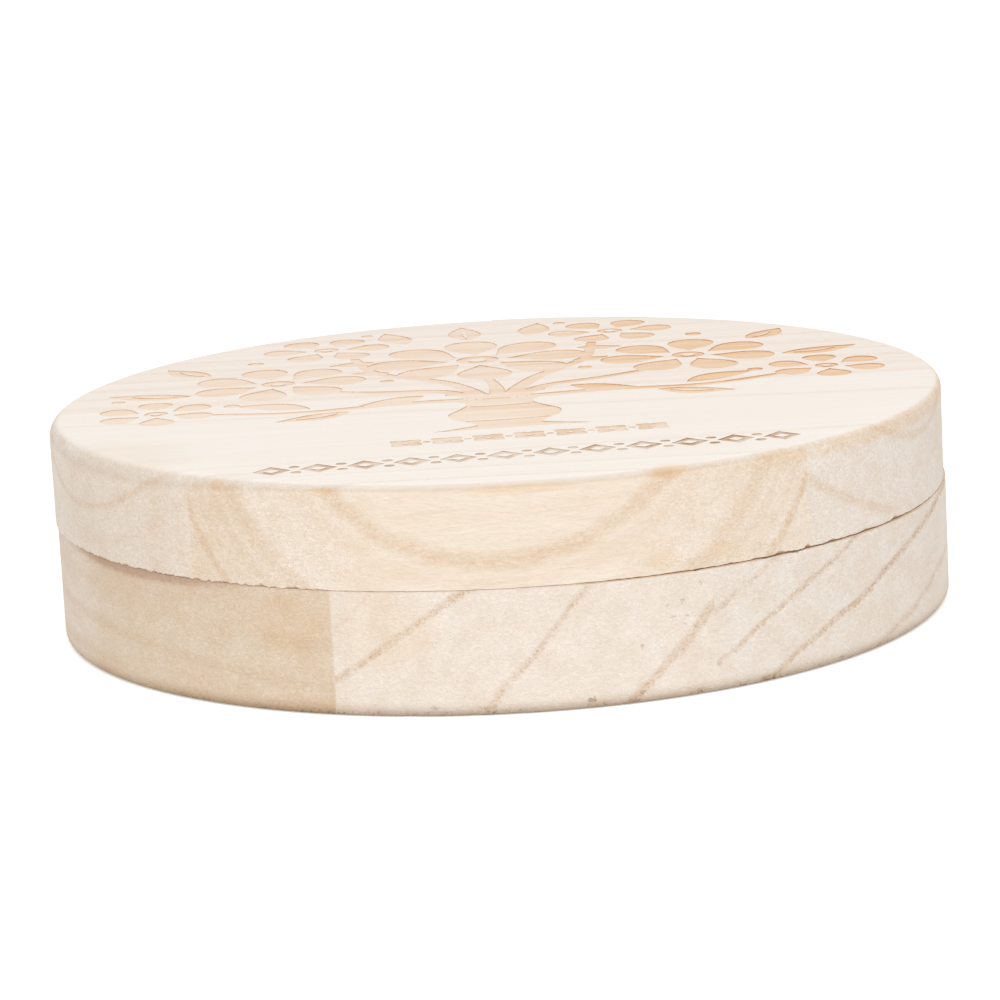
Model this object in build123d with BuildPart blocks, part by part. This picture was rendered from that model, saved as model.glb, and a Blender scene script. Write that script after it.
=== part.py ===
from build123d import *
import os
from math import asin, cos, degrees, radians, sin, sqrt

# A round keepsake box for milk teeth, in millimetres, +Z up, its front towards -Y.
# The origin is the centre of the base's underside, which the box stands on.
# Base and lid are thick discs glued up from strips of light wood.
# The lid swings round, flat over the base, on one upright screw near the back edge.

# Turned discs
base_radius = 60.0
base_height = 15.8
lid_radius = base_radius  # both discs are turned to one size
lid_height = 13.2
lid_top_round = 1.2
base_foot_round = 1.2
seam_chamfer = 0.25
seam_gap = 0.2
lid_slip = 0.25  # how far the closed lid stands to the left of the base
overrun = 2.0  # how far every cut runs past the wood

# Glue lines, as shares of the disc's radius, from front to back and from left to right
lid_glue_line_shares = (-0.766, 0.0, 0.766)
base_glue_line_shares = (-0.361, 0.424)

# Wells for the teeth
well_ring_inset = 18.0  # from the base's rim to the circle that the wells stand on
well_depth = 10.0
well_wall = 3.5  # least wood between two wells of one jaw
well_rim_break = 0.4
incisor_well_diameter = 8.0
canine_well_diameter = 8.5
molar_well_diameter = 11.0

# Pivot
pivot_inset = 8.0  # from the rim to the screw's axis
screw_diameter = 4.0
screw_play = 0.1
screw_head_diameter = 7.6
screw_head_height = 2.4
screw_point_chamfer = 0.5
screw_end_spare = 0.5  # how far the screw stops short of the insert's top
drive_slot_length = 4.2
drive_slot_width = 0.9
drive_slot_depth = 1.2
counterbore_diameter = 9.0
counterbore_depth = 4.0
washer_diameter = 8.4
washer_bore_diameter = 4.3
washer_thickness = 0.8
bush_diameter = 6.0
bush_flange_diameter = 9.0
bush_flange_thickness = 1.0
bush_seat_clearance = 0.05
running_clearance = 0.05

# Threaded insert in the lid
insert_diameter = 6.4
insert_wall = 1.17  # brass round its bore
insert_length = 8.0
insert_recess = 0.2
insert_groove_depth = 0.3
insert_groove_width = 0.8
insert_hole_spare = 0.8  # empty wood above the insert
insert_seat_clearance = 0.05
thread_clearance = 0.03

# Magnets
magnet_inset = 8.0  # from the rim to the magnets' axis
magnet_diameter = 8.0
magnet_thickness = 3.0
magnet_edge_chamfer = 0.2
magnet_seat_clearance = 0.05

# Places that follow from the sizes
pivot_radius = base_radius - pivot_inset
pivot_x, pivot_y = 0.0, pivot_radius
magnet_x, magnet_y = 0.0, -(base_radius - magnet_inset)
closed_angle = -asin(lid_slip / pivot_radius)
lid_bottom = base_height + seam_gap
insert_bottom = lid_bottom + insert_recess
insert_top = insert_bottom + insert_length
insert_bore = insert_diameter - 2 * insert_wall
screw_thread_diameter = insert_bore - 2 * thread_clearance
lid_centre = (
    pivot_x - lid_slip,
    pivot_y - sqrt(pivot_radius**2 - lid_slip**2),
    lid_bottom,
)
lid_back = (-sin(closed_angle), cos(closed_angle), 0)
magnet_stand = seam_gap / 2  # how far each magnet stands out of the wood

# The planes whose X runs across the strips: towards the right in the base, to the back in the lid
base_across = Plane.XY
lid_across = Plane(origin=lid_centre, x_dir=lid_back, z_dir=(0, 0, 1))

bottom_end, top_end = 0, -1  # which group of corners, sorted by height

os.makedirs("parts", exist_ok=True)


def outer_corner(profile, end):
    # The outermost corner at one end of a disc's half profile
    return profile.vertices().group_by(Axis.Y)[end].sort_by(Axis.X)[-1]


def turned_disc(across, radius, height, rim_round, round_end, seam_end):
    # A round disc turned about the plane's own Z: one rim rounded, the rim at the seam chamfered
    upright = Plane(origin=across.origin, x_dir=across.x_dir, z_dir=-across.y_dir)
    with BuildSketch(upright) as profile:
        with Locations((radius / 2, height / 2)):
            Rectangle(radius, height)
        chamfer(outer_corner(profile, seam_end), seam_chamfer)
        fillet(outer_corner(profile, round_end), rim_round)
    revolve(profile.sketch, axis=Axis(across.origin, across.z_dir))


def keep_strip(across, radius, height, low, high):
    # Keeps the disc's wood between two glue lines
    with BuildSketch(across.offset(-overrun)) as band:
        with Locations(((low + high) / 2, 0)):
            Rectangle(high - low, (radius + overrun) * 2)
    extrude(band.sketch, amount=height + overrun * 2, mode=Mode.INTERSECT)


def strip_edges(radius, shares):
    # The two sides of each strip, from the first to the last
    reach = radius + overrun
    lines = [-reach] + [share * radius for share in shares] + [reach]
    return list(zip(lines[:-1], lines[1:]))


def bore(x, y, diameter, low, high):
    # Cuts an upright round hole between two heights
    with BuildSketch(Plane.XY.offset(low)) as hole:
        with Locations((x, y)):
            Circle(diameter / 2)
    extrude(hole.sketch, amount=high - low, mode=Mode.SUBTRACT)


def cylinder_of(x, y, diameter, low, high):
    # Adds an upright round bar between two heights
    with BuildSketch(Plane.XY.offset(low)) as end:
        with Locations((x, y)):
            Circle(diameter / 2)
    extrude(end.sketch, amount=high - low)


def finish(piece, name):
    piece.part.label = name
    export_step(piece.part, f"parts/{name}.step")


def jaw_wells(middle_angle):
    # One jaw's ten wells along the ring, from back molar to back molar
    half = [
        molar_well_diameter,
        molar_well_diameter,
        canine_well_diameter,
        incisor_well_diameter,
        incisor_well_diameter,
    ]
    diameters = half + half[::-1]
    ring_radius = base_radius - well_ring_inset
    angles = [0.0]
    for one, other in zip(diameters[:-1], diameters[1:]):
        spacing = (one + other) / 2 + well_wall
        angles.append(angles[-1] + degrees(2 * asin(spacing / 2 / ring_radius)))
    start = middle_angle - angles[-1] / 2
    wells = []
    for angle, diameter in zip(angles, diameters):
        turn = radians(start + angle)
        wells.append((ring_radius * cos(turn), ring_radius * sin(turn), diameter))
    return wells


def cut_wells():
    # Every well is bored from above and its rim is broken
    for x, y, diameter in jaw_wells(90) + jaw_wells(-90):
        bore(x, y, diameter, base_height - well_depth, base_height + overrun)
        with Locations((x, y, base_height)):
            Cone(
                diameter / 2,
                diameter / 2 + well_rim_break,
                well_rim_break,
                align=(Align.CENTER, Align.CENTER, Align.MAX),
                mode=Mode.SUBTRACT,
            )


def cut_base_seats():
    # The screw's counterbore, the bush's hole and flange seat, and the magnet's pocket
    flange_seat = base_height + seam_gap - bush_flange_thickness
    magnet_seat = base_height + magnet_stand - magnet_thickness
    spare = 2 * bush_seat_clearance
    bore(pivot_x, pivot_y, counterbore_diameter, -overrun, counterbore_depth)
    bore(pivot_x, pivot_y, bush_diameter + spare, -overrun, base_height + overrun)
    bore(pivot_x, pivot_y, bush_flange_diameter + spare, flange_seat, base_height + overrun)
    magnet_hole = magnet_diameter + 2 * magnet_seat_clearance
    bore(magnet_x, magnet_y, magnet_hole, magnet_seat, base_height + overrun)


def cut_lid_seats():
    # The insert's blind hole and the magnet's pocket, both from the underside
    insert_hole = insert_diameter + 2 * insert_seat_clearance
    insert_hole_top = insert_top + insert_hole_spare
    magnet_hole = magnet_diameter + 2 * magnet_seat_clearance
    magnet_top = lid_bottom - magnet_stand + magnet_thickness
    bore(pivot_x, pivot_y, insert_hole, lid_bottom - overrun, insert_hole_top)
    bore(magnet_x, magnet_y, magnet_hole, lid_bottom - overrun, magnet_top)


# Base strips, left to right
base_names = ("base_left_strip", "base_middle_strip", "base_right_strip")
for name, (low, high) in zip(base_names, strip_edges(base_radius, base_glue_line_shares)):
    with BuildPart() as base_strip:
        turned_disc(base_across, base_radius, base_height, base_foot_round, bottom_end, top_end)
        keep_strip(base_across, base_radius, base_height, low, high)
        cut_wells()
        cut_base_seats()
    finish(base_strip, name)

# Lid strips, front to back
lid_names = ("lid_front_strip", "lid_near_strip", "lid_far_strip", "lid_back_strip")
for name, (low, high) in zip(lid_names, strip_edges(lid_radius, lid_glue_line_shares)):
    with BuildPart() as lid_strip:
        turned_disc(lid_across, lid_radius, lid_height, lid_top_round, top_end, bottom_end)
        keep_strip(lid_across, lid_radius, lid_height, low, high)
        cut_lid_seats()
    finish(lid_strip, name)

# Flanged bush: the screw turns in it, and the lid runs on its flange
with BuildPart() as pivot_bush:
    bush_top = base_height + seam_gap
    cylinder_of(pivot_x, pivot_y, bush_diameter, counterbore_depth, bush_top)
    cylinder_of(
        pivot_x, pivot_y, bush_flange_diameter, bush_top - bush_flange_thickness, bush_top
    )
    bore(
        pivot_x,
        pivot_y,
        screw_diameter + 2 * running_clearance,
        counterbore_depth - overrun,
        bush_top + overrun,
    )
finish(pivot_bush, "pivot_bush")

# Washer under the screw's head
washer_bottom = counterbore_depth - washer_thickness
with BuildPart() as head_washer:
    cylinder_of(pivot_x, pivot_y, washer_diameter, washer_bottom, counterbore_depth)
    bore(
        pivot_x, pivot_y, washer_bore_diameter, washer_bottom - overrun, counterbore_depth + overrun
    )
finish(head_washer, "head_washer")

# Screw: head in the counterbore, plain shank through the bush, threaded end in the insert
head_top = washer_bottom - screw_play
screw_top = insert_top - screw_end_spare
with BuildPart() as pivot_screw:
    cylinder_of(pivot_x, pivot_y, screw_diameter, head_top, lid_bottom)
    cylinder_of(pivot_x, pivot_y, screw_thread_diameter, lid_bottom, screw_top)
    chamfer(pivot_screw.edges().group_by(Axis.Z)[-1], screw_point_chamfer)
    cylinder_of(
        pivot_x, pivot_y, screw_head_diameter, head_top - screw_head_height, head_top
    )
    with BuildSketch(Plane.XY.offset(head_top - screw_head_height)):
        with Locations((pivot_x, pivot_y)):
            Rectangle(drive_slot_length, drive_slot_width)
            Rectangle(drive_slot_width, drive_slot_length)
    extrude(amount=drive_slot_depth, mode=Mode.SUBTRACT)
finish(pivot_screw, "pivot_screw")

# Threaded insert, with two grooves that grip the wood
with BuildPart() as lid_insert:
    cylinder_of(pivot_x, pivot_y, insert_diameter, insert_bottom, insert_top)
    for third in (1, 2):
        groove_middle = insert_bottom + insert_length * third / 3
        with BuildSketch(Plane.XY.offset(groove_middle - insert_groove_width / 2)):
            with Locations((pivot_x, pivot_y)):
                Circle(insert_diameter / 2 + overrun)
                Circle(insert_diameter / 2 - insert_groove_depth, mode=Mode.SUBTRACT)
        extrude(amount=insert_groove_width, mode=Mode.SUBTRACT)
    bore(pivot_x, pivot_y, insert_bore, insert_bottom - overrun, insert_top + overrun)
finish(lid_insert, "lid_insert")

# Magnets: one let into each disc, meeting halfway up the seam
magnet_places = (
    ("base_magnet", base_height + magnet_stand - magnet_thickness),
    ("lid_magnet", base_height + magnet_stand),
)
for name, magnet_bottom in magnet_places:
    with BuildPart() as magnet:
        cylinder_of(
            magnet_x, magnet_y, magnet_diameter, magnet_bottom, magnet_bottom + magnet_thickness
        )
        chamfer(magnet.edges(), magnet_edge_chamfer)
    finish(magnet, name)
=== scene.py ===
import math

import bmesh
import bpy
import numpy as np
from mathutils import Matrix, Vector, noise
from mathutils.geometry import delaunay_2d_cdt


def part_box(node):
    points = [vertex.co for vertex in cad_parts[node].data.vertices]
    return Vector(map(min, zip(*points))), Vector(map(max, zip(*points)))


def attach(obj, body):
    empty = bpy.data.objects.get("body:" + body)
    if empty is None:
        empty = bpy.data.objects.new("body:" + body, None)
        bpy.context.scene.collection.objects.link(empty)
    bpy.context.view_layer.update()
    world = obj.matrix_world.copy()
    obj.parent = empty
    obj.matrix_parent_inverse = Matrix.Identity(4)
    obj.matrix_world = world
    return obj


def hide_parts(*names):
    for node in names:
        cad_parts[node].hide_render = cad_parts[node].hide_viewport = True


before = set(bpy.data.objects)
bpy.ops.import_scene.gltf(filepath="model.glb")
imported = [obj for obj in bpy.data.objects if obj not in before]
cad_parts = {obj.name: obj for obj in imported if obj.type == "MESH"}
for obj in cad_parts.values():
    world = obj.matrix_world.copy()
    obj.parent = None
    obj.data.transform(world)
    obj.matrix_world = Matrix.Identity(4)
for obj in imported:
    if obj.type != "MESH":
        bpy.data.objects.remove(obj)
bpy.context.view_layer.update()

# Outlines and profiles are written in millimetres, meshes are made in metres
mm = 0.001
print("loaded", len(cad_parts), "nodes")


def spanOf(*nodes):
    # The lowest and the highest corner of some solids together, in millimetres
    corners = [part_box(node) for node in nodes]
    low = Vector([min(pair[0][axis] for pair in corners) for axis in range(3)])
    high = Vector([max(pair[1][axis] for pair in corners) for axis in range(3)])
    return low / mm, high / mm


baseStrips = ["base_left_strip", "base_middle_strip", "base_right_strip"]
lidStrips = ["lid_front_strip", "lid_near_strip", "lid_far_strip", "lid_back_strip"]
baseLow, baseHigh = spanOf(*baseStrips)
lidLow, lidHigh = spanOf(*lidStrips)
radius = (baseHigh.x - baseLow.x) / 2
baseHeight = baseHigh.z
lidHeight = lidHigh.z - lidLow.z

# The lid may rest a little turned about its pivot, and is built straight
pivotLow, pivotHigh = spanOf("pivot_screw")
pivot = (pivotLow + pivotHigh) / 2
lidMiddle = (lidLow + lidHigh) / 2
lidTurn = math.atan2(lidMiddle.x - pivot.x, pivot.y - lidMiddle.y)
lidPlace = Matrix.Translation((lidMiddle.x, lidMiddle.y, lidLow.z)) @ Matrix.Rotation(lidTurn, 4, "Z")
basePlace = Matrix.Identity(4)
meshPlay = 0.004  # how far the meshes stay inside the solids

# Wood that was turned: the profile of each disc, and how fine its mesh is
discs = {
    "turns": 1440,
    "wallStep": 0.95,
    "roundSteps": 7,
    "sharpAngle": 28.0,  # edges sharper than this show as edges
    "topRound": 1.2,
    "topRoundLeft": 3.2,  # the lid's top edge is sanded rounder towards the left
    "leftGrows": (-20.0, -55.0),  # where it grows, by the arc from the front
    "leftShrinks": (-68.0, -90.0),  # and where most of that goes again
    "leftShrink": 0.7,
    "footRound": 1.2,
    "seamBreak": 0.05,
    "seamSteps": (1.7, 2.6, 3.8),  # rows beside the broken edge, as multiples of it
    "seamBand": 1.5,  # the ragged wood keeps within this distance of the seam
    "lidFull": 0.1,  # this near the seam the wood is as ragged as it gets
    "baseFull": 0.2,
    "lidChipInset": 0.9,  # how far a chip goes in, as a share of its height
    "baseChipInset": 0.5,
}

# Glue lines, as shares of the radius, and seats for the fittings
glue = {
    "lidShares": (-0.766, 0.0, 0.766),
    "baseShares": (-0.361, 0.424),
    "bleed": 0.3,  # how far glue has bled into the darker strip
    "bleedShare": 0.6,
}
seats = {
    "slack": 0.05,
    "flangeDepth": 1.0,  # the bush's flange: its thickness, and how far it stands out
    "flangeStep": 1.5,
    "counterboreRadius": 4.5,
    "counterboreDepth": 4.0,
    "insertSpare": 0.8,
    "sides": 72,
}

# Wells: diameter from the back molar to the front incisor of half a jaw
wells = {
    "diameters": (11.0, 11.0, 8.5, 8.0, 8.0),
    "ringInset": 18.0,
    "depth": 10.0,
    "wall": 3.5,
    "wallSteps": (0.34, 0.67, 1.0),
    "rimBreak": 0.4,
    "floorRound": 0.5,
    "spurRadius": 0.7,
    "spurDepth": 0.5,
    "sides": 72,
}

# The seam: from left to right the lid's lower edge is torn, then nearly closed, then chipped
seam = {
    # stretches along it, in millimetres from the front: where each starts, is full, fades and ends
    "torn": (-96.0, -88.0, -24.5, -21.5),
    "closed": (-22.5, -20.5, 9.0, 14.0),
    "open": (9.0, 17.0, 90.0, 96.0),
    "baseOpen": (9.0, 15.0),
    # waves: length, seed and height
    "tornWaves": ((9.0, 4.4, 0.06), (2.3, 7.1, 0.12), (0.6, 1.3, 0.26), (0.3, 9.9, 0.24)),
    "closedWaves": ((2.3, 7.1, 0.04),),
    "openWaves": ((2.3, 7.1, 0.05), (0.6, 1.3, 0.08)),
    "chipWaves": ((0.6, 1.3, 1.0),),
    "baseWaves": ((2.9, 17.1, 0.02),),
    "baseChipWaves": ((0.5, 11.3, 0.9),),
    "tornLift": 0.06,
    "closedDrop": 0.03,  # the lid's edge never hangs lower
    "baseRise": 0.14,  # the base's rim stands up towards the lid
    "baseRiseOpen": 0.115,
    "magnetPath": (43.0, 60.0),  # here the lid's magnet passes over the base's rim
    "magnetRise": 0.08,
    # chips: place along the arc, width and depth
    "chips": (
        (37.0, 1.0, 0.34), (41.5, 0.7, 0.26), (46.0, 0.9, 0.2), (53.5, 1.2, 0.2), (60.5, 1.1, 0.3),
        (29.0, 0.6, 0.18), (33.2, 0.4, 0.14),
    ),
    "baseChips": ((35.0, 1.2, 0.26), (39.5, 1.6, 0.4), (44.0, 1.2, 0.28), (61.0, 1.0, 0.2), (24.0, 0.5, 0.2)),
    "baseChipLevel": 0.6,
}
footDents = {
    "waves": ((3.3, 27.1, 0.5), (0.6, 21.3, 0.35)),
    "least": 0.22,  # only waves higher than this dent the foot
    "height": 1.6,  # the dents fade out here, as a multiple of the foot's round
}
noiseSlice = 3.7  # where the edges' waves are taken from the noise


def ease(low, high, value):
    share = min(max((value - low) / (high - low), 0.0), 1.0)
    return share * share * (3 - 2 * share)


def stretch(arc, start, full, fading, end):
    # 1 along a stretch of the seam, and softly 0 beyond it
    return ease(start, full, arc) * (1 - ease(fading, end, arc))


def waves(arc, rows, level=0.0):
    # A level with waves on it
    for length, seed, height in rows:
        level += height * noise.noise(Vector((arc / length, seed, noiseSlice)))
    return level


def chipping(arc, chips):
    return sum(depth * math.exp(-(((arc - middle) / width) ** 2)) for middle, width, depth in chips)


def lidWear(arc):
    # How far the lid's lower edge is lifted from its true place, or hangs below it
    lift = stretch(arc, *seam["torn"]) * waves(arc, seam["tornWaves"], seam["tornLift"])
    lift += stretch(arc, *seam["closed"]) * waves(arc, seam["closedWaves"], -seam["closedDrop"])
    lift += stretch(arc, *seam["open"]) * waves(arc, seam["openWaves"])
    lift += chipping(arc, seam["chips"]) * waves(arc, seam["chipWaves"], 1.0)
    return max(lift, -seam["closedDrop"])


def baseWear(arc):
    # How far the base's upper edge is worn down; a negative drop stands up
    opened = ease(*seam["baseOpen"], arc)
    rise = seam["baseRise"] + (seam["baseRiseOpen"] - seam["baseRise"]) * opened
    low, high = seam["magnetPath"]
    if low < abs(arc) < high:
        rise = min(rise, seam["magnetRise"])
    drop = waves(arc, seam["baseWaves"], -rise)
    ragged = max(0.0, waves(arc, seam["baseChipWaves"], seam["baseChipLevel"]))
    return max(drop + chipping(arc, seam["baseChips"]) * ragged, -rise)


def footWear(arc):
    # How far the foot is dented
    return max(0.0, waves(arc, footDents["waves"], -footDents["least"]))


# Building a closed mesh from rings of points and flat faces
def newSolid():
    return {"points": [], "faces": [], "tags": []}


def addRing(solid, middle, ringRadius, height, sides):
    start = len(solid["points"])
    for step in range(sides):
        turn = 2 * math.pi * step / sides
        x, y = middle[0] + ringRadius * math.cos(turn), middle[1] + ringRadius * math.sin(turn)
        solid["points"].append((x, y, height))
    return list(range(start, start + sides))


def joinRings(solid, lower, upper):
    # The face looks away from the axis when the second ring lies above the first
    count = len(lower)
    for step in range(count):
        after = (step + 1) % count
        solid["faces"].append((lower[step], lower[after], upper[after], upper[step]))
        solid["tags"].append("wood")


def closeRing(solid, ring, apex, up):
    tip = len(solid["points"])
    solid["points"].append(apex)
    for step in range(len(ring)):
        pair = (ring[step], ring[(step + 1) % len(ring)])
        solid["faces"].append((*pair, tip) if up else (pair[1], pair[0], tip))
        solid["tags"].append("wood")


def flatFace(solid, rim, holes, carved, height, up):
    # Fills the flat between the rim and the holes, and sinks the carved outlines into it
    flat, known, outlines = [], [], []
    for ring in [rim] + holes:
        outlines.append(list(range(len(flat), len(flat) + len(ring))))
        flat += [Vector(solid["points"][index][:2]) for index in ring]
        known += ring
    for shape in carved:
        outlines.append(list(range(len(flat), len(flat) + len(shape["outline"]))))
        flat += [Vector(point) for point in shape["outline"]]
        known += [None] * len(shape["outline"])
    found = delaunay_2d_cdt(flat, [], outlines, 1, 1e-5)
    spots, triangles, origins, owners = found[0], found[2], found[3], found[5]
    top = []
    for spot, sources in zip(spots, origins):
        same = [known[source] for source in sources if known[source] is not None]
        if same:
            top.append(same[0])
        else:
            top.append(len(solid["points"]))
            solid["points"].append((spot.x, spot.y, height))
    # Triangles beyond the rim or in a hole go, those in a carved outline sink
    holeIds = set(range(1, 1 + len(holes)))
    kept, edges, sunk = [], {}, {}
    for triangle, owner in zip(triangles, owners):
        owner = set(owner)
        if 0 not in owner or owner & holeIds:
            continue
        cuts = [carved[item - 1 - len(holes)] for item in sorted(owner) if item > len(holes)]
        kind = None
        if cuts and not any(cut["island"] for cut in cuts):
            kind = cuts[0]["kind"]
        kept.append((triangle, kind))
        for step in range(3):
            edges[(triangle[step], triangle[(step + 1) % 3])] = kind
    for triangle, kind in kept:
        corners = [top[corner] for corner in triangle]
        if kind is not None:
            for corner in triangle:
                if corner not in sunk:
                    x, y, z = solid["points"][top[corner]]
                    sunk[corner] = len(solid["points"])
                    solid["points"].append((x, y, z - kind["depth"]))
            corners = [sunk[corner] for corner in triangle]
        solid["faces"].append(tuple(corners) if up else tuple(corners[::-1]))
        solid["tags"].append(kind["floor"] if kind else "wood")
    # Upright sides, where sunk wood meets wood that was left standing
    for triangle, kind in kept:
        if kind is not None:
            continue
        for step in range(3):
            first, second = triangle[step], triangle[(step + 1) % 3]
            beyond = edges.get((second, first))
            if beyond is not None:
                solid["faces"].append((top[second], top[first], sunk[first], sunk[second]))
                solid["tags"].append(beyond["side"])


def boredHole(solid, middle, steps, sides, up=True):
    # The wall of a hole, from its mouth inwards: each step is a radius and a height
    rings = [addRing(solid, middle, ringRadius, height, sides) for ringRadius, height in steps]
    for outer, inner in zip(rings[:-1], rings[1:]):
        joinRings(solid, *((outer, inner) if up else (inner, outer)))
    return rings[0], rings[-1]


def discRings(solid, rows, wear):
    # The disc's outer face, row by row from the underside's rim to the top's rim
    rings = []
    for inset, height in rows:
        start = len(solid["points"])
        for step in range(discs["turns"]):
            turn = 2 * math.pi * (step + 0.5) / discs["turns"]
            arc = radius * math.atan2(math.cos(turn), -math.sin(turn))
            extraInset, rise = wear(arc, inset, height)
            reach = radius - meshPlay - inset - extraInset
            solid["points"].append((reach * math.cos(turn), reach * math.sin(turn), height + rise))
        rings.append(list(range(start, start + discs["turns"])))
    for lower, upper in zip(rings[:-1], rings[1:]):
        joinRings(solid, lower, upper)
    return rings[0], rings[-1]


def wallRows(low, high):
    count = max(2, round((high - low) / discs["wallStep"]))
    return [(0.0, low + (high - low) * step / count) for step in range(1, count)]


def roundRows(size, height, upwards):
    rows = []
    for step in range(discs["roundSteps"] + 1):
        turn = math.pi / 2 * step / discs["roundSteps"]
        inset, rise = size * (1 - math.cos(turn)), size * math.sin(turn)
        rows.append((inset, height - size + rise) if upwards else (inset, height + size - rise))
    return rows if upwards else rows[::-1]


def seamRows(height, upwards):
    # From the flat to the wall: an inner ring, the broken edge, and closer rows beside the seam
    corner, band = discs["seamBreak"], discs["seamBand"]
    rows = [(band, 0.0), (band * 0.6, 0.0), (corner, 0.0), (corner * 0.4, corner * 0.55), (0.0, corner)]
    rows += [(0.0, corner * step) for step in discs["seamSteps"]] + [(0.0, band)]
    if upwards:
        return [(inset, height - rise) for inset, rise in rows][::-1]
    return [(inset, height + rise) for inset, rise in rows]


# Carved shapes: closed outlines on the lid's top, in millimetres from its middle
def smoothLine(points, perSpan=8):
    # A smooth line through given points
    points = [np.array(point, float) for point in points]
    ends = [2 * points[0] - points[1]] + points + [2 * points[-1] - points[-2]]
    line = []
    for before, start, end, after in zip(ends[:-3], ends[1:-2], ends[2:-1], ends[3:]):
        for step in range(perSpan):
            t = step / perSpan
            bend = (2 * before - 5 * start + 4 * end - after) * t * t
            twist = (3 * start - before - 3 * end + after) * t ** 3
            line.append(0.5 * (2 * start + (end - before) * t + bend + twist))
    return np.array(line + [points[-1]])


def turned(outline, degrees):
    turn = math.radians(degrees)
    spin = np.array([[math.cos(turn), math.sin(turn)], [-math.sin(turn), math.cos(turn)]])
    return np.array(outline) @ spin


def counterClockwise(outline):
    outline = np.array(outline)
    x, y = outline[:, 0], outline[:, 1]
    area = np.sum(x * np.roll(y, -1) - np.roll(x, -1) * y)
    return outline if area > 0 else outline[::-1]


def petal(root, degrees, length, width, belly=0.62, flare=1.25, fullness=2.3, steps=14):
    # Narrow at its root, widest at the belly and rounded at its tip
    share = (1 - np.cos(np.linspace(0, math.pi, steps))) / 2
    inner = np.sin(math.pi / 2 * np.minimum(share / belly, 1)) ** flare
    outer = np.sqrt(np.maximum(1 - (np.maximum(share - belly, 0) / (1 - belly)) ** fullness, 0))
    return leafOutline(root, degrees, length, share, width / 2 * np.where(share < belly, inner, outer))


def bud(root, degrees, length, width, lean=0.0, steps=14, skew=0.85):
    # Pointed at both ends, and leaning to one side
    share = (1 - np.cos(np.linspace(0, math.pi, steps))) / 2
    half = width / 2 * np.sin(math.pi * share ** skew)
    return leafOutline(root, degrees, length, share, half, lean * np.sin(math.pi * share))


def leafOutline(root, degrees, length, share, half, bow=0.0):
    upper = np.stack([share * length, bow + half], 1)
    lower = np.stack([share * length, bow - half], 1)[::-1][1:-1]
    return turned(np.concatenate([upper, lower]), degrees) + np.array(root)


def aim(degrees):
    return np.array([math.cos(math.radians(degrees)), math.sin(math.radians(degrees))])


def dot(middle, size, sides=18):
    turn = np.linspace(0, 2 * math.pi, sides, endpoint=False)
    return np.stack([np.cos(turn), np.sin(turn)], 1) * size + np.array(middle)


def stem(points, startWidth, endWidth):
    line = smoothLine(points)
    along = np.gradient(line, axis=0)
    along /= np.linalg.norm(along, axis=1)[:, None]
    across = np.stack([-along[:, 1], along[:, 0]], 1)
    width = np.linspace(startWidth, endWidth, len(line))[:, None] / 2
    return np.concatenate([line + across * width, (line - across * width)[::-1]])


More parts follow.
